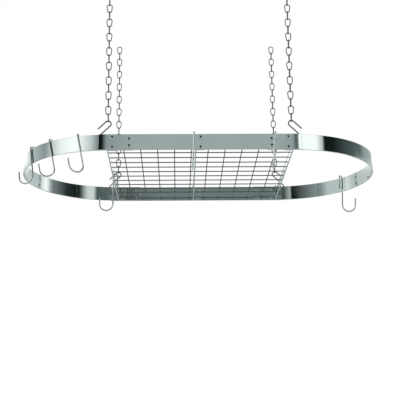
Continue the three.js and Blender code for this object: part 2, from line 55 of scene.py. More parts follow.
BAR_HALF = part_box("front_bar")[1].x
ARC_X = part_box("right_end")[1].x - END_OUTER

# ---- The cross rails ----
RAIL_THICK = 0.003
RAIL_STRIP = 0.013            # height of a rail's low middle strip
RAIL_EAR = 0.034              # height of its two ears
RAIL_BEND = 0.004             # outer radius of the bend to a tab
RAIL_BEVEL = 0.0004
TAB_WIDE = 0.020
SIDE_RAIL_X = 0.205
CENTRE_RAIL_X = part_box("centre_rail")[0].x + RAIL_THICK / 2
WINDOW_HALF = 0.190           # half the length of the low strip between the ears
WINDOW_TALL = 0.04            # past the top of the ears
WINDOW_DEEP = 0.02
WINDOW_CORNER = 0.003
EYE_RADIUS = 0.0043           # of the eye in each ear
EYE_RISE = 0.0251             # from the band's bottom edge to the eye's middle
HANG_Y = 0.1985               # the eyes and the chains, front and rear
CUTTER_LENGTH = 0.03          # of the cylinders that cut the eyes and bolt holes

# ---- The wire shelf ----
SHELF_WIRE = 0.00125          # radius
SHELF_WIRE_TIP = 0.0004       # rounding of a wire's ends
LONG_PITCH = 0.037
CROSS_PITCH = 0.0382
CROSS_HALF = 0.1885           # half the length of a cross wire
WIRES_EACH_SIDE = 5
WELD_RADIUS = 0.0011
WELD_SPREAD = (1.25, 1.25, 0.5)   # a weld spot is wide and flat

# ---- The chains and S-hooks ----
CORNERS = [("front_left", -1, -1), ("front_right", -1, 1),    # name, front or rear, left or right
           ("rear_left", 1, -1), ("rear_right", 1, 1)]
LINKS = 20
LINK_WIRE = 0.0012            # radius
LINK_LENGTH = 0.02245
LINK_TOP = 0.006              # centreline radius of a link's wide end
LINK_FOOT = 0.0048
FUSED_PITCH = 0.0178
PIVOT_PITCH = 0.01735         # of the two loose joints at the top
PIVOT_GAP = 0.0003
S_WIRE = 0.0015               # radius
S_UPPER = 0.0068              # centreline radius of the upper bend
S_LOWER = 0.0112
S_SHANK = 0.034
S_UPPER_LEG = 0.025
S_LOWER_LEG = 0.014
S_LEAN = math.radians(44)

# ---- The pot hooks ----
HOOK_WIRE = 0.0017            # radius
HOOK_BEND = 0.0052            # centreline radius of the bend over the band
HOOK_SHANK = 0.0708
HOOK_INNER_LEG = 0.030
HOOK_BOWL = 0.0162
HOOK_TIP = 0.0182
HOOK_GAP = 0.0003
HOOK_TWIST = math.radians(45)
LEFT_HOOKS = [(57.9, 15), (38, 15), (17.8, 12)]   # degrees round the end from the front, and of lean
RIGHT_HOOK = (130, 2)
BAR_HOOKS = [(-0.0138, -2.5), (0.1667, -6)]       # x, and degrees of lean
RAIL_HOOK_Y = 0.05
TIP_ROUNDING = 0.7            # of a hook wire's radius

# ---- The bolts ----
BOLT_HEAD = 0.004             # radius
BOLT_HEAD_TALL = 0.0023
BOLT_SHANK = 0.002            # radius
BOLT_CLEARANCE = 0.0003       # round the shank
BOLT_SEAT = 0.00025           # under the head and under the nut
NUT_RADIUS = 0.004
NUT_TALL = 0.0032
NUT_BEVEL = 0.0003
SHANK_IN_NUT = 0.98 * NUT_TALL
HEAD_DOME = [(0.0008, 0.98), (0.0006, 0.9), (0.0005, 0.8), (0.0004, 0.72)]   # rise, and scale there
RECESS_INSET = 0.0003
RECESS_DEPTH = 0.0014
PAINTED_SHADE_RADIUS = 0.0019          # of the painted shade in the middle of a head: the recess and a little round it
PAINTED_SHADE_DEPTH = 0.0018           # how far below the crown it reaches

# ---- The surfaces ----
BRUSHING_LINES = 900.0
BRUSHING_STRETCH = (0.02, 0.02, 1.0)
BRUSHING_STRENGTH = 0.15
BRUSHING_DISTANCE = 0.0001
MARKS_FROM = 0.35             # the stretch of the noise that the handling marks use
MARKS_TO = 0.65
DRIFT_SHARE = 0.6             # the colour drifts more slowly than the handling marks
FLOOR_COLOUR = (0.86, 0.86, 0.86)
FLOOR_DULL = (0.8514, 0.8514, 0.8514)
FLOOR_DRIFT = 1.5
FLOOR_ROUGHNESS = 0.8

# ---- The camera: the photograph's viewing angle, from in front and below ----
CAMERA_PLACE = Vector((-0.0527, -2.2988, -0.6808 + BAND_LOW))
CAMERA_YAW = math.radians(1.386)
CAMERA_PITCH = math.radians(15.18)
CAMERA_ROLL = math.radians(-0.659)
CAMERA_LENS = 89.5
CAMERA_SENSOR = 36.0
CAMERA_NEAR = 0.05
CAMERA_FAR = 60.0

# ---- The studio ----
FLOOR_Z = -1.9
FLOOR_RADIUS = 25.0
ROOM_LIGHT = 0.8              # strength of the world on surfaces that don't mirror it
LAMP_AIM = Vector((0, 0, -0.3))
LAMPS = [("key", (-1.6, -1.8, 2.2), 1.6, 60),     # name, place, size and watts
         ("fill", (2.2, -1.6, 0.8), 1.8, 25),
         ("low", (0.2, -1.2, -1.6), 1.6, 14)]
TENT_RADIUS = 40.0
TENT_LIGHT = 1.4              # strength of a card whose level is 1
TENT_SEAM = 0.4               # degrees, half the soft edge between two rings of cards
CARD_TINT = 1.1               # the dim cards are a little cooler than the bright ones

# The studio's flags and soft boxes stand in rings. Each card is (degrees to the right of the front,
# level), and a card blends into the next. A ring with only its right-hand half is the same on the left.
FLOOR_CARDS = [(0, 0.28), (30, 0.4), (90, 0.35), (150, 0.45), (180, 0.3)]
LOW_CARDS = [(20, 0.32), (60, 0.42), (66, 0.95), (80, 0.9), (90, 0.02), (104, 0.03), (112, 0.36),
             (135, 0.45), (146, 0.95), (154, 0.95), (160, 0.4), (180, 0.3)]
MIDDLE_CARDS = [(-180, 0.5), (-112, 0.5), (-100, 0.72), (-90, 0.5), (-68, 0.48), (-58, 0.24),
                (-48, 0.22), (-22, 0.01), (-15.5, 0.005), (-14.5, 0.4), (-4, 0.02), (-2, 0.17),
                (7, 0.16), (12, 0.1), (25, 0.08), (30, 0.62), (38, 0.6), (47, 0.1), (51, 0.006),
                (70, 0.03), (93, 0.2), (106, 0.95), (120, 0.5), (180, 0.5)]
HIGH_CARDS = [(-180, 0.95), (-140, 0.9), (-124, 0.5), (-92, 0.26), (-65, 0.85), (-45, 0.98),
              (-24, 0.54), (-17, 0.27), (-15, 0.2), (-14.6, 0.005), (-10, 0.01), (-3, 0.36),
              (7, 0.36), (8, 0.14), (13, 0.1), (14, 0.95), (36, 0.95), (45, 0.45), (47, 0.01),
              (60, 0.01), (80, 0.06), (108, 0.11), (119, 0.28), (145, 0.38), (160, 0.95), (180, 0.95)]
TOP_CARDS = [(0, 0.03), (60, 0.08), (120, 0.4), (180, 0.06)]

# The lowest ring is FLOOR_CARDS, and each of these starts so many degrees above level.
UPPER_RINGS = [(-25, LOW_CARDS), (9, MIDDLE_CARDS), (16.85, HIGH_CARDS), (30, TOP_CARDS)]


def add_camera():
    forward = Vector((math.sin(CAMERA_YAW) * math.cos(CAMERA_PITCH),
                      math.cos(CAMERA_YAW) * math.cos(CAMERA_PITCH), math.sin(CAMERA_PITCH)))
    level = Vector((math.cos(CAMERA_YAW), -math.sin(CAMERA_YAW), 0.0))
    upright = level.cross(forward)
    right = level * math.cos(CAMERA_ROLL) + upright * math.sin(CAMERA_ROLL)
    up = upright * math.cos(CAMERA_ROLL) - level * math.sin(CAMERA_ROLL)
    data = bpy.data.cameras.new("camera")
    data.lens = CAMERA_LENS
    data.sensor_width = CAMERA_SENSOR
    data.clip_start = CAMERA_NEAR
    data.clip_end = CAMERA_FAR
    camera = bpy.data.objects.new("camera", data)
    turn = Matrix((right, up, -forward)).transposed().to_4x4()
    camera.matrix_world = Matrix.Translation(CAMERA_PLACE) @ turn
    bpy.context.scene.collection.objects.link(camera)
    bpy.context.scene.camera = camera


# ---- Modelling by hand: small wrappers round the edit-mode operators ----
def deselect_all():
    if bpy.context.object and bpy.context.object.mode != "OBJECT":
        bpy.ops.object.mode_set(mode="OBJECT")
    bpy.ops.object.select_all(action="DESELECT")


def pick(piece):
    """Makes this piece the only one that is selected."""
    deselect_all()
    piece.select_set(True)
    bpy.context.view_layer.objects.active = piece


def begin(name, primitive, **settings):
    """Adds a primitive, names it and opens it in edit mode with all of it selected."""
    deselect_all()
    getattr(bpy.ops.mesh, f"primitive_{primitive}_add")(**settings)
    piece = bpy.context.object
    piece.name = name
    piece.data.name = name
    bpy.ops.object.mode_set(mode="EDIT")
    bpy.ops.mesh.select_mode(type="FACE")
    bpy.ops.mesh.select_all(action="SELECT")
    return piece


def finish_piece(piece, smooth_degrees=35.0):
    """Closes edit mode, puts the piece's place into its mesh and smooths its gentle edges."""
    if piece.mode == "EDIT":
        bpy.ops.mesh.select_all(action="SELECT")
        bpy.ops.mesh.remove_doubles(threshold=1e-6)
        bpy.ops.mesh.normals_make_consistent(inside=False)
        bpy.ops.object.mode_set(mode="OBJECT")
    pick(piece)
    bpy.ops.object.transform_apply(location=True, rotation=True, scale=True)
    bpy.ops.object.shade_smooth_by_angle(angle=math.radians(smooth_degrees))
    return piece


def apply_modifier(piece, kind, **settings):
    pick(piece)
    modifier = piece.modifiers.new(kind.lower(), kind)
    for key, value in settings.items():
        setattr(modifier, key, value)
    bpy.ops.object.modifier_apply(modifier=modifier.name)


def break_edges(piece, width, segments=2, degrees=50.0):
    apply_modifier(piece, "BEVEL", width=width, segments=segments, limit_method="ANGLE",
                   angle_limit=math.radians(degrees), use_clamp_overlap=True)


def flatten_shading(piece):
    """Keeps the large flat faces flat up to their bevels, so that they mirror as sheet does."""
    apply_modifier(piece, "WEIGHTED_NORMAL", mode="FACE_AREA", weight=100, keep_sharp=True)


def cut_away(piece, cutters):
    for cutter in cutters:
        apply_modifier(piece, "BOOLEAN", operation="DIFFERENCE", object=cutter, solver="EXACT")
        bpy.data.objects.remove(cutter)


def score(piece, place, direction):
    """Marks an edge round the piece where a plane cuts it."""
    pick(piece)
    bpy.ops.object.mode_set(mode="EDIT")
    bpy.ops.mesh.select_all(action="SELECT")
    bpy.ops.mesh.bisect(plane_co=tuple(place), plane_no=tuple(direction))
    bpy.ops.object.mode_set(mode="OBJECT")


def run(offset):
    """Draws the selected end out in a straight line."""
    bpy.ops.mesh.extrude_region_move(TRANSFORM_OT_translate={"value": tuple(offset)})


def bend(centre, axis, degrees, steps):
    """Spins the selected end by the right-hand rule; the operator itself turns the other way."""
    bpy.ops.mesh.spin(steps=steps, angle=-math.radians(degrees), center=tuple(centre),
                      axis=tuple(axis), dupli=False, use_auto_merge=False)


def copy_of(piece, name, matrix):
    """A copy with a mesh of its own, moved by a matrix and with its place in the mesh."""
    other = piece.copy()
    other.data = piece.data.copy()
    other.name = name
    other.data.name = name
    bpy.context.scene.collection.objects.link(other)
    other.data.transform(matrix)
    return other


def joined(name, pieces):
    deselect_all()
    for piece in pieces:
        piece.select_set(True)
    bpy.context.view_layer.objects.active = pieces[0]
    bpy.ops.object.join()
    whole = bpy.context.object
    whole.name = name
    whole.data.name = name
    return whole


def wire_section(name, place, direction, radius, sides, fill="NGON"):
    """A round section of wire, square to the direction in which the wire sets off."""
    turn = Vector(direction).to_track_quat("Z", "Y").to_euler()
    return begin(name, "circle", vertices=sides, radius=radius, fill_type=fill,
                 location=tuple(place), rotation=turn)


def strip_section(name, place, thick, tall):
    """An upright section of strip or sheet, square to X."""
    strip = begin(name, "plane", size=1, location=tuple(place), rotation=(0, math.pi / 2, 0))
    bpy.ops.transform.resize(value=(1, thick, tall), center_override=tuple(place))
    return strip


def cylinder_cutter(place, radius, sides, turn):
    bpy.ops.mesh.primitive_cylinder_add(vertices=sides, radius=radius, depth=CUTTER_LENGTH,
                                        location=tuple(place), rotation=turn)
    return bpy.context.object


def middle_of(node):
    low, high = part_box(node)
    return (low + high) / 2


def hand_in(piece, body, slot, material, *nodes):
    piece.data.materials.clear()
    piece.data.materials.append(material)
    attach(piece, body)
    if nodes:
        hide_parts(*nodes)


# ---- Materials ----
def new_material(name):
    material = bpy.data.materials.new(name)
    material.use_nodes = True
    return material


def effect(name, inputs, output):
    """A shader node group with one output; each input is (name, value)."""
    tree = bpy.data.node_groups.new(name, "ShaderNodeTree")
    for socket, value in inputs:
        made = tree.interface.new_socket(socket, in_out="INPUT", socket_type="NodeSocketFloat")
        made.default_value = value
    tree.interface.new_socket(output, in_out="OUTPUT", socket_type="NodeSocketFloat")
    return tree, tree.nodes.new("NodeGroupInput"), tree.nodes.new("NodeGroupOutput")


def feed(tree, socket, value):
    """Gives a socket a number, or links another node's output to it."""
    if isinstance(value, (int, float)):
        socket.default_value = value
    else:
        tree.links.new(value, socket)


def math_node(tree, operation, first, second=0.0):
    node = tree.nodes.new("ShaderNodeMath")
    node.operation = operation
    feed(tree, node.inputs[0], first)
    feed(tree, node.inputs[1], second)
    return node.outputs[0]


def noise(tree, vector, scale, detail):
    node = tree.nodes.new("ShaderNodeTexNoise")
    feed(tree, node.inputs["Detail"], detail)
    feed(tree, node.inputs["Scale"], scale)
    tree.links.new(vector, node.inputs["Vector"])
    return node.outputs["Fac"]


def brushing_effect():
    """Fine lines along the strip: noise that is drawn out level and packed tight from top to foot."""
    tree, given, result = effect("fine_brushing", [("Lines", BRUSHING_LINES), ("Depth", 0.5)], "Height")
    place = tree.nodes.new("ShaderNodeTexCoord")
    stretch = tree.nodes.new("ShaderNodeMapping")
    stretch.inputs["Scale"].default_value = BRUSHING_STRETCH
    tree.links.new(place.outputs["Object"], stretch.inputs["Vector"])
    lines = noise(tree, stretch.outputs["Vector"], given.outputs["Lines"], detail=3.0)
    tree.links.new(math_node(tree, "MULTIPLY", lines, given.outputs["Depth"]), result.inputs["Height"])
    return tree


def handling_effect():
    """Soft patches where the polish is a little duller from handling."""
    inputs = [("Size", 18.0), ("Least", 0.1), ("Most", 0.2)]
    tree, given, result = effect("handling_marks", inputs, "Roughness")
    place = tree.nodes.new("ShaderNodeTexCoord")
    patches = noise(tree, place.outputs["Object"], given.outputs["Size"], detail=4.0)
    spread = tree.nodes.new("ShaderNodeMapRange")
    spread.inputs["From Min"].default_value = MARKS_FROM
    spread.inputs["From Max"].default_value = MARKS_TO
    tree.links.new(patches, spread.inputs["Value"])
    tree.links.new(given.outputs["Least"], spread.inputs["To Min"])
    tree.links.new(given.outputs["Most"], spread.inputs["To Max"])
    tree.links.new(spread.outputs["Result"], result.inputs["Roughness"])
    return tree


BRUSHING = brushing_effect()
HANDLING = handling_effect()


def place_group(tree, group, **values):
    node = tree.nodes.new("ShaderNodeGroup")
    node.node_tree = group
    for name, value in values.items():
        node.inputs[name].default_value = value
    return node


def drift_colour(tree, bright, dull, scale):
    """Lets the material's colour drift slowly between two tones."""
    place = tree.nodes.new("ShaderNodeTexCoord")
    drift = noise(tree, place.outputs["Object"], scale, detail=2.0)
    tones = tree.nodes.new("ShaderNodeMix")
    tones.data_type = "RGBA"
    tones.inputs["A"].default_value = (*bright, 1.0)
    tones.inputs["B"].default_value = (*dull, 1.0)
    tree.links.new(drift, tones.inputs["Factor"])
    tree.links.new(tones.outputs["Result"], tree.nodes["Principled BSDF"].inputs["Base Color"])


def metal(name, bright, dull, least, most, marks_scale, brushing=0.0):
    """Metal with a drift of tone, handling marks between two roughnesses and, if asked, brushing."""
    material = new_material(name)
    tree = material.node_tree
    shader = tree.nodes["Principled BSDF"]
    shader.inputs["Metallic"].default_value = 1.0
    marks = place_group(tree, HANDLING, Size=marks_scale, Least=least, Most=most)
    tree.links.new(marks.outputs["Roughness"], shader.inputs["Roughness"])
    drift_colour(tree, bright, dull, DRIFT_SHARE * marks_scale)
    if brushing:
        brushed = place_group(tree, BRUSHING, Lines=BRUSHING_LINES, Depth=brushing)
        bump = tree.nodes.new("ShaderNodeBump")
        bump.inputs["Strength"].default_value = BRUSHING_STRENGTH
        bump.inputs["Distance"].default_value = BRUSHING_DISTANCE
        tree.links.new(brushed.outputs["Height"], bump.inputs["Height"])
        tree.links.new(bump.outputs["Normal"], shader.inputs["Normal"])
    return material


BAND_STEEL = metal("polished_strip", bright=(0.72, 0.78, 0.765), dull=(0.67, 0.73, 0.715),
                   least=0.03, most=0.07, marks_scale=18.0, brushing=0.5)
RAIL_STEEL = metal("rail_sheet", bright=(0.68, 0.73, 0.72), dull=(0.6, 0.66, 0.65),
                   least=0.08, most=0.16, marks_scale=18.0, brushing=0.8)
# The shelf wire and the chain and S-hook wire are darkened well below the bright steel: painted shade for
# the dark reflections that thin wire shows.
SHELF_STEEL_PAINTED_SHADE = metal("shelf_wire", bright=(0.24, 0.26, 0.26), dull=(0.18, 0.2, 0.2),
                    least=0.1, most=0.18, marks_scale=40.0)
CHAIN_STEEL_PAINTED_SHADE = metal("chain_wire_painted_shade", bright=(0.28, 0.29, 0.29), dull=(0.21, 0.22, 0.22),
                    least=0.08, most=0.16, marks_scale=60.0)
HOOK_STEEL = metal("polished_wire", bright=(0.72, 0.75, 0.745), dull=(0.66, 0.7, 0.69),
                   least=0.04, most=0.09, marks_scale=30.0)
BOLT_STEEL = metal("bolt_steel", bright=(0.74, 0.77, 0.76), dull=(0.64, 0.67, 0.66),
                   least=0.1, most=0.18, marks_scale=90.0)
# Painted shade for the bolt heads' recesses: near-black steel that stands in for the shadow inside them.
RECESS_PAINTED_SHADE = metal("painted_recess_shade", bright=(0.09, 0.1, 0.1), dull=(0.05, 0.06, 0.06),
                     least=0.4, most=0.55, marks_scale=90.0)


# ---- The oval band ----
def bolts_named(*words):
    return [n for n in sorted(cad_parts) if n.startswith("bolt_") and any(w in n for w in words)]


def bolt_hole_cutters(bolts):
    radius = BOLT_SHANK + BOLT_CLEARANCE
    return [cylinder_cutter(middle_of(bolt), radius, 24, (math.pi / 2, 0, 0)) for bolt in bolts]


def make_bar(side):
    """The section starts at the left wrapped end, goes round it, straight across and round again."""
    middle = BAR_OUTER_Y - BAND_THICK / 2
    height = BAND_LOW + BAND_TALL / 2
    wrap = math.asin((BAR_HALF - ARC_X) / BAR_OUTER_Y)
    left_arc = Vector((-ARC_X, 0, height))
    right_arc = Vector((ARC_X, 0, height))
    bar = strip_section(f"{side}_strip", left_arc + Vector((0, -middle, 0)), BAND_THICK, BAND_TALL)
    bpy.ops.transform.rotate(value=wrap, orient_axis="Z", center_override=tuple(left_arc))
    bend(left_arc, (0, 0, 1), math.degrees(wrap), steps=6)
    run((2 * ARC_X, 0, 0))
    bend(right_arc, (0, 0, 1), math.degrees(wrap), steps=6)
    finish_piece(bar)
    if side == "rear":
        bar.data.transform(Matrix.Rotation(math.pi, 4, "Z"))
    bolts = bolts_named(f"bolt_{side}_")
    columns = sorted({round(middle_of(bolt).x, 5) for bolt in bolts})
    score(bar, (0, 0, height), (0, 0, 1))
    for first, second in zip(columns, columns[1:]):
        score(bar, ((first + second) / 2, 0, 0), (1, 0, 0))
    cut_away(bar, bolt_hole_cutters(bolts))
    break_edges(bar, BAND_BEVEL)
    flatten_shading(finish_piece(bar))
    hand_in(bar, "rack", "band", BAND_STEEL, f"{side}_bar")


def make_end(side, sign):
    """The section starts at the front leg's inner end and runs round to the rear one."""
    middle = END_OUTER - BAND_THICK / 2
    leg = sign * (ARC_X - LEG_INNER_X)
    start = Vector((sign * LEG_INNER_X, -middle, BAND_LOW + BAND_TALL / 2))
    end = strip_section(f"{side}_curve", start, BAND_THICK, BAND_TALL)
    run((leg, 0, 0))
    bend((sign * ARC_X, 0, 0), (0, 0, sign), 180, steps=96)
    run((-leg, 0, 0))
    finish_piece(end)
    cut_away(end, bolt_hole_cutters(bolts_named(f"{side}_rail", f"{side}_leg")))
    break_edges(end, BAND_BEVEL)
    flatten_shading(finish_piece(end))
    hand_in(end, "rack", "band", BAND_STEEL, f"{side}_end")


# ---- The cross rails ----
def make_rail(name, x, sign, tab_face):
    """A tall sheet with its ends bent to tabs, to the right or left by the sign, and a window cut out."""
    half = RAIL_THICK / 2
    radius = RAIL_BEND - half
    tab_y = tab_face - half
    tab_reach = TAB_WIDE - half
    bend_x = x + sign * radius
    bend_y = tab_y - radius
    start = Vector((x + sign * tab_reach, -tab_y, BAND_LOW + RAIL_EAR / 2))
    rail = strip_section(f"{name}_sheet", start, RAIL_THICK, RAIL_EAR)
    run((-sign * (tab_reach - radius), 0, 0))
    bend((bend_x, -bend_y, 0), (0, 0, -sign), 90, steps=8)
    run((0, 2 * bend_y, 0))
    bend((bend_x, bend_y, 0), (0, 0, -sign), 90, steps=8)
    run((sign * (tab_reach - radius), 0, 0))
    finish_piece(rail)
    window = begin(f"{name}_window", "cube", size=1, scale=(WINDOW_DEEP, 2 * WINDOW_HALF, WINDOW_TALL),
                   location=(x, 0, BAND_LOW + RAIL_STRIP + WINDOW_TALL / 2))
    finish_piece(window)
    break_edges(window, WINDOW_CORNER, segments=5, degrees=80.0)
    eyes = [cylinder_cutter((x, y, BAND_LOW + EYE_RISE), EYE_RADIUS, 32, (0, math.pi / 2, 0))
            for y in (-HANG_Y, HANG_Y)]
    cut_away(rail, [window, *eyes, *bolt_hole_cutters(bolts_named(name))])
    break_edges(rail, RAIL_BEVEL, degrees=40.0)
    flatten_shading(finish_piece(rail))
    hand_in(rail, "rack", "rails", RAIL_STEEL, name)


# ---- The wire shelf ----
def shelf_wire(name, direction, height, half):
    """A straight rod over the middle of the rack, with the rims of its ends rounded."""
    along = Vector(direction)
    wire = wire_section(name, Vector((0, 0, height)) - along * half, along, SHELF_WIRE, sides=20)
    run(along * (2 * half))
    finish_piece(wire)
    break_edges(wire, SHELF_WIRE_TIP, degrees=60.0)
    return wire


def make_shelf():
    low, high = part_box("wire_grid")
    long_z = low.z + SHELF_WIRE
    cross_z = high.z - SHELF_WIRE
    long_y = [i * LONG_PITCH for i in range(-WIRES_EACH_SIDE, WIRES_EACH_SIDE + 1)]
    cross_x = [-SIDE_RAIL_X, SIDE_RAIL_X]
    for i in range(WIRES_EACH_SIDE):
        cross_x += [-(i + 0.5) * CROSS_PITCH, (i + 0.5) * CROSS_PITCH]
    long_wire = shelf_wire("long_wire", (1, 0, 0), long_z, high.x)
    cross_wire = shelf_wire("cross_wire", (0, 1, 0), cross_z, CROSS_HALF)
    pieces = [copy_of(long_wire, "long_wire", Matrix.Translation((0, y, 0))) for y in long_y]
    pieces += [copy_of(cross_wire, "cross_wire", Matrix.Translation((x, 0, 0))) for x in cross_x]
    deselect_all()
    bpy.data.objects.remove(long_wire)
    bpy.data.objects.remove(cross_wire)
    for x in cross_x:
        for y in long_y:
            place = (x, y, (long_z + cross_z) / 2)
            weld = begin("weld", "uv_sphere", segments=10, ring_count=6, radius=WELD_RADIUS, location=place)
            bpy.ops.transform.resize(value=WELD_SPREAD, center_override=place)
            pieces.append(finish_piece(weld, 180.0))
    hand_in(joined("wire_shelf", pieces), "rack", "shelf_wire", SHELF_STEEL_PAINTED_SHADE, "wire_grid")


# ---- The chains ----
def make_link():
    """One ring, face-on to the front: its section goes round the wide top, down and round the foot."""
    half = LINK_LENGTH / 2 - LINK_WIRE
    top = half - LINK_TOP
    foot = LINK_FOOT - half
    slant = math.asin((LINK_TOP - LINK_FOOT) / (top - foot))
    turn = math.degrees(slant)
    start = Vector((LINK_TOP * math.cos(slant), 0, top - LINK_TOP * math.sin(slant)))
    leaving = Vector((math.sin(slant), 0, math.cos(slant)))
    link = wire_section("link", start, leaving, LINK_WIRE, sides=16, fill="NOTHING")
    bpy.ops.mesh.select_mode(type="VERT")
    bpy.ops.mesh.select_all(action="SELECT")
    bend((0, 0, top), (0, -1, 0), 180 + 2 * turn, steps=16)
    straight = (top - foot) * math.cos(slant)
    run((straight * math.sin(slant), 0, -straight * math.cos(slant)))
    bend((0, 0, foot), (0, -1, 0), 180 - 2 * turn, steps=12)
    run((straight * math.sin(slant), 0, straight * math.cos(slant)))
    return finish_piece(link, 180.0)


def link_rise(number):
    """Height of a link's middle over that of the last link but one, whose two joints are loose."""
    loose = LINKS - 1
    if number >= loose:
        return (number - loose) * PIVOT_PITCH
    return (number - loose + 1) * FUSED_PITCH - PIVOT_PITCH


def make_chains():
    """Every other link is turned a quarter, and the two highest are pieces of their own."""
    link = make_link()
    quarter = Matrix.Rotation(math.pi / 2, 4, "Z")
    for corner, sign, side in CORNERS:
        line_x = side * SIDE_RAIL_X
        line_y = sign * HANG_Y
        upper_z = middle_of(f"upper_link_{corner}").z
        rings = []
        for number in range(1, LINKS + 1):
            place = Matrix.Translation((line_x, line_y, upper_z + link_rise(number)))
            if number % 2:
                place = place @ quarter
            rings.append(copy_of(link, f"link_{corner}_{number}", place))
        top_ring = rings.pop()
        upper_ring = rings.pop()
        lengths = joined(f"chain_links_{corner}", rings)
        hand_in(lengths, f"chain_{corner}", "chains", CHAIN_STEEL_PAINTED_SHADE, f"chain_{corner}")
        hand_in(upper_ring, f"upper_link_{corner}", "chains", CHAIN_STEEL_PAINTED_SHADE, f"upper_link_{corner}")
        hand_in(top_ring, "ceiling_links", "chains", CHAIN_STEEL_PAINTED_SHADE, f"top_link_{corner}")
    deselect_all()
    bpy.data.objects.remove(link)


# ---- The S-hooks ----
def round_tips(hook, radius):
    """Rounds a bent wire's two ends: only the rims there are sharp enough to be broken."""
    break_edges(hook, radius * TIP_ROUNDING, segments=4, degrees=60.0)
    return finish_piece(hook, 60.0)


def make_s_hook():
    """As the left side has it, bent from the upper leg's tip, with the upper bend's middle at zero."""
    along = Vector((math.cos(S_LEAN), 0, math.sin(S_LEAN)))
    across = Vector((-math.sin(S_LEAN), 0, math.cos(S_LEAN)))
    lower_middle = across * (-S_UPPER - S_LOWER) - along * S_SHANK
    hook = wire_section("s_wire", across * S_UPPER - along * S_UPPER_LEG, along, S_WIRE, sides=20)
    run(along * S_UPPER_LEG)
    bend((0, 0, 0), (0, 1, 0), 180, steps=20)
    run(-along * S_SHANK)
    bend(lower_middle, (0, -1, 0), 180, steps=24)
    run(along * S_LOWER_LEG)
    finish_piece(hook)
    return round_tips(hook, S_WIRE)


def make_s_hooks():
    """A copy at each corner, mirrored on the right."""
    hook = make_s_hook()
    for corner, sign, side in CORNERS:
        chain_foot = middle_of(f"upper_link_{corner}").z + link_rise(1) - LINK_LENGTH / 2 + LINK_WIRE
        loop_z = chain_foot + S_WIRE + LINK_WIRE + PIVOT_GAP - S_UPPER
        place = Matrix.Translation((side * SIDE_RAIL_X, sign * HANG_Y, loop_z))
        mirror = Matrix.Diagonal((-side, 1, 1, 1))
        copy = copy_of(hook, f"s_hook_wire_{corner}", place @ mirror)
        if side > 0:
            copy.data.flip_normals()
        hand_in(copy, f"s_hook_{corner}", "s_hooks", CHAIN_STEEL_PAINTED_SHADE, f"s_hook_{corner}")
    deselect_all()
    bpy.data.objects.remove(hook)


# ---- The pot hooks ----
def make_pot_hook(name, twist):
    """Bent with the band's outer top edge at zero and +X away from the band."""
    shank_x = HOOK_GAP + HOOK_WIRE
    side = Vector((math.cos(twist), math.sin(twist), 0))
    shank_foot = Vector((shank_x, 0, -HOOK_SHANK))
    start = Vector((shank_x - 2 * HOOK_BEND, 0, -HOOK_INNER_LEG))
    hook = wire_section(name, start, (0, 0, 1), HOOK_WIRE, sides=24)
    run((0, 0, HOOK_INNER_LEG))
    bend((shank_x - HOOK_BEND, 0, 0), (0, 1, 0), 180, steps=20)
    run((0, 0, -HOOK_SHANK))
    bend(shank_foot + side * HOOK_BOWL, side.cross(Vector((0, 0, 1))), 180, steps=28)
    run((0, 0, HOOK_TIP))
    finish_piece(hook)
    return round_tips(hook, HOOK_WIRE)


def end_hook_place(side, from_front, lean):
    angle = math.radians(from_front)
    out = Vector((side * math.sin(angle), -math.cos(angle), 0))
    point = Vector((side * ARC_X, 0, BAND_TOP)) + out * END_OUTER
    return point, math.atan2(out.y, out.x), lean, True


def pot_hook_places():
    """(point on the straddled edge, outward angle, degrees of lean, twisted or not), hooks 1 to 7."""
    left = [end_hook_place(-1, *hook) for hook in LEFT_HOOKS]
    bars = [(Vector((x, -BAR_OUTER_Y, BAND_TOP)), -math.pi / 2, lean, False) for x, lean in BAR_HOOKS]
    rail_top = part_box("wire_grid")[1].z + HOOK_GAP
    rail = (Vector((-SIDE_RAIL_X - RAIL_THICK / 2, RAIL_HOOK_Y, rail_top)), math.pi, 0.0, False)
    return [*left, *bars, end_hook_place(1, *RIGHT_HOOK), rail]


def make_pot_hooks():
    twisted = make_pot_hook("twisted_hook", -HOOK_TWIST)
    plain = make_pot_hook("plain_hook", 0.0)
    for number, (point, outward, lean, is_twisted) in enumerate(pot_hook_places(), 1):
        turn = Matrix.Rotation(outward, 4, "Z") @ Matrix.Rotation(math.radians(lean), 4, "X")
        source = twisted if is_twisted else plain
        hook = copy_of(source, f"pot_hook_wire_{number}", Matrix.Translation(point) @ turn)
        hand_in(hook, f"pot_hook_{number}", "pot_hooks", HOOK_STEEL, f"pot_hook_{number}")
    deselect_all()
    bpy.data.objects.remove(twisted)
    bpy.data.objects.remove(plain)


# ---- The bolts ----
def make_bolt(grip):
    """Along +Y: a low domed head with a driver's recess, the shank, and a hexagon nut behind."""
    seat = grip / 2 + BOLT_SEAT
    shank = wire_section("bolt_shank", (0, -seat - SHANK_IN_NUT, 0), (0, 1, 0), BOLT_SHANK, sides=20)
    run((0, 2 * seat + SHANK_IN_NUT, 0))
    finish_piece(shank)
    head = wire_section("bolt_head", (0, seat, 0), (0, 1, 0), BOLT_HEAD, sides=32)
    for rise, scale in HEAD_DOME:
        run((0, rise, 0))
        bpy.ops.transform.resize(value=(scale, 1, scale))
    bpy.ops.mesh.inset(thickness=RECESS_INSET)
    run((0, -RECESS_DEPTH, 0))
    finish_piece(head)
    nut = wire_section("bolt_nut", (0, -seat - NUT_TALL, 0), (0, 1, 0), NUT_RADIUS, sides=6)
    run((0, NUT_TALL, 0))
    finish_piece(nut)
    break_edges(nut, NUT_BEVEL, degrees=40.0)
    finish_piece(nut)
    return joined("bolt", [head, shank, nut])


def paint_recess_shade(bolt, crown):
    """Paints shade into the driver's recess and the middle of the head: near-black, rough steel as a second
    material.
    """
    bolt.data.materials.append(RECESS_PAINTED_SHADE)
    for face in bolt.data.polygons:
        offset = face.center - crown
        if math.hypot(offset.x, offset.z) < PAINTED_SHADE_RADIUS and abs(offset.y) < PAINTED_SHADE_DEPTH:
            face.material_index = 1


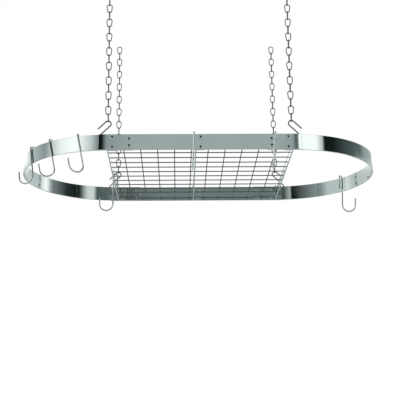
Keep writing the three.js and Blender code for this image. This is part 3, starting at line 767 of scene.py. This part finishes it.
def make_bolts():
    """One pattern for each length of bolt, then a copy at each bolt's own place."""
    patterns = {}
    for node in bolts_named("front", "rear"):
        low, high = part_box(node)
        length = round(high.y - low.y, 6)
        grip = length - NUT_TALL - BOLT_HEAD_TALL - 2 * BOLT_SEAT
        if length not in patterns:
            patterns[length] = make_bolt(grip)
        sign = -1 if low.y < 0 else 1
        crown = middle_of(node)
        crown.y = high.y if sign > 0 else low.y
        place = Matrix.Translation(crown - Vector((0, sign * (BOLT_HEAD_TALL + BOLT_SEAT + grip / 2), 0)))
        turn = Matrix.Rotation(math.pi, 4, "Z") if sign < 0 else Matrix.Identity(4)
        bolt = copy_of(patterns[length], node.replace("bolt_", "screw_"), place @ turn)
        hand_in(bolt, "rack", "bolts", BOLT_STEEL, node)
        # Painted shade: the recess and the middle of each head take the near-black second material.
        paint_recess_shade(bolt, crown)
    deselect_all()
    for pattern in patterns.values():
        bpy.data.objects.remove(pattern)


# ---- Floor, backdrop and lights ----
def make_floor():
    bpy.ops.mesh.primitive_circle_add(vertices=96, radius=FLOOR_RADIUS, fill_type="NGON",
                                      location=(0, 0, FLOOR_Z))
    floor = bpy.context.object
    floor.name = "floor"
    bpy.ops.object.transform_apply(location=True)
    paint = new_material("pale_floor")
    paint.node_tree.nodes["Principled BSDF"].inputs["Roughness"].default_value = FLOOR_ROUGHNESS
    drift_colour(paint.node_tree, FLOOR_COLOUR, FLOOR_DULL, FLOOR_DRIFT)
    floor.data.materials.append(paint)
    floor.visible_glossy = False


def make_world():
    """A white room for every ray that shows it, and a plain level of light for the rest."""
    world = bpy.data.worlds.new("studio")
    bpy.context.scene.world = world
    world.use_nodes = True
    tree = world.node_tree
    backdrop = tree.nodes["Background"]
    backdrop.inputs["Color"].default_value = (1, 1, 1, 1)
    room = tree.nodes.new("ShaderNodeBackground")
    room.inputs["Color"].default_value = (1, 1, 1, 1)
    room.inputs["Strength"].default_value = ROOM_LIGHT
    rays = tree.nodes.new("ShaderNodeLightPath")
    seen = math_node(tree, "MAXIMUM", rays.outputs["Is Camera Ray"], rays.outputs["Is Transmission Ray"])
    seen = math_node(tree, "MAXIMUM", seen, rays.outputs["Is Glossy Ray"])
    blend = tree.nodes.new("ShaderNodeMixShader")
    tree.links.new(seen, blend.inputs["Fac"])
    tree.links.new(room.outputs["Background"], blend.inputs[1])
    tree.links.new(backdrop.outputs["Background"], blend.inputs[2])
    tree.links.new(blend.outputs["Shader"], tree.nodes["World Output"].inputs["Surface"])


def ring_of_cards(tree, turn, cards):
    """The level of a ring's cards in each direction; a ring with only its right half is mirrored."""
    if cards[0][0] >= 0:
        cards = [(-degrees, level) for degrees, level in reversed(cards) if degrees] + cards
    ramp = tree.nodes.new("ShaderNodeValToRGB")
    stops = ramp.color_ramp.elements
    for count, (degrees, level) in enumerate(cards):
        place = (degrees + 180) / 360
        stop = stops[count] if count < len(stops) else stops.new(place)
        stop.position = place
        stop.color = (level ** CARD_TINT, level, level, 1)
    tree.links.new(turn, ramp.inputs["Fac"])
    return ramp.outputs["Color"]


def tent_cloth():
    """Glows as the rings of cards do; each ring takes over from the one below it at a soft seam."""
    material = new_material("tent_cloth")
    tree = material.node_tree
    tree.nodes.remove(tree.nodes["Principled BSDF"])
    place = tree.nodes.new("ShaderNodeTexCoord")
    split = tree.nodes.new("ShaderNodeSeparateXYZ")
    tree.links.new(place.outputs["Object"], split.inputs["Vector"])
    x, y, z = split.outputs
    turn = math_node(tree, "ARCTAN2", x, math_node(tree, "MULTIPLY", y, -1.0))
    turn = math_node(tree, "ADD", math_node(tree, "DIVIDE", turn, 2 * math.pi), 0.5)
    rise = math_node(tree, "ARCSINE", math_node(tree, "DIVIDE", z, TENT_RADIUS))
    level = ring_of_cards(tree, turn, FLOOR_CARDS)
    for start, cards in UPPER_RINGS:
        edge = tree.nodes.new("ShaderNodeMapRange")
        edge.interpolation_type = "SMOOTHSTEP"
        edge.inputs["From Min"].default_value = math.radians(start - TENT_SEAM)
        edge.inputs["From Max"].default_value = math.radians(start + TENT_SEAM)
        tree.links.new(rise, edge.inputs["Value"])
        blend = tree.nodes.new("ShaderNodeMix")
        blend.data_type = "RGBA"
        tree.links.new(edge.outputs["Result"], blend.inputs["Factor"])
        tree.links.new(level, blend.inputs["A"])
        tree.links.new(ring_of_cards(tree, turn, cards), blend.inputs["B"])
        level = blend.outputs["Result"]
    glow = tree.nodes.new("ShaderNodeEmission")
    glow.inputs["Strength"].default_value = TENT_LIGHT
    tree.links.new(level, glow.inputs["Color"])
    tree.links.new(glow.outputs["Emission"], tree.nodes["Material Output"].inputs["Surface"])
    return material


def make_tent():
    """The studio's flags and soft boxes, far off and seen only in polished metal."""
    bpy.ops.mesh.primitive_uv_sphere_add(segments=48, ring_count=24, radius=TENT_RADIUS,
                                         location=(0, 0, BAND_LOW))
    tent = bpy.context.object
    tent.name = "flags_and_soft_boxes"
    tent.data.materials.append(tent_cloth())
    for ray in ("camera", "diffuse", "transmission", "volume_scatter", "shadow"):
        setattr(tent, f"visible_{ray}", False)


def add_lamp(name, place, size, power):
    data = bpy.data.lights.new(name, "AREA")
    data.shape = "DISK"
    data.size = size
    data.energy = power
    lamp = bpy.data.objects.new(name, data)
    lamp.location = place
    lamp.rotation_euler = (LAMP_AIM - Vector(place)).to_track_quat("-Z", "Y").to_euler()
    bpy.context.scene.collection.objects.link(lamp)
    lamp.visible_glossy = False


# ---- Assembly ----
make_bar("front")
make_bar("rear")
make_end("left", -1)
make_end("right", 1)
make_rail("left_rail", -SIDE_RAIL_X, 1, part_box("left_rail")[1].y)
make_rail("centre_rail", CENTRE_RAIL_X, 1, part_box("centre_rail")[1].y)
make_rail("right_rail", SIDE_RAIL_X, -1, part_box("right_rail")[1].y)
make_shelf()
make_chains()
make_s_hooks()
make_pot_hooks()
make_bolts()
make_floor()
make_world()
make_tent()
for lamp_settings in LAMPS:
    add_lamp(*lamp_settings)
add_camera()
bpy.context.scene.view_settings.view_transform = "Standard"
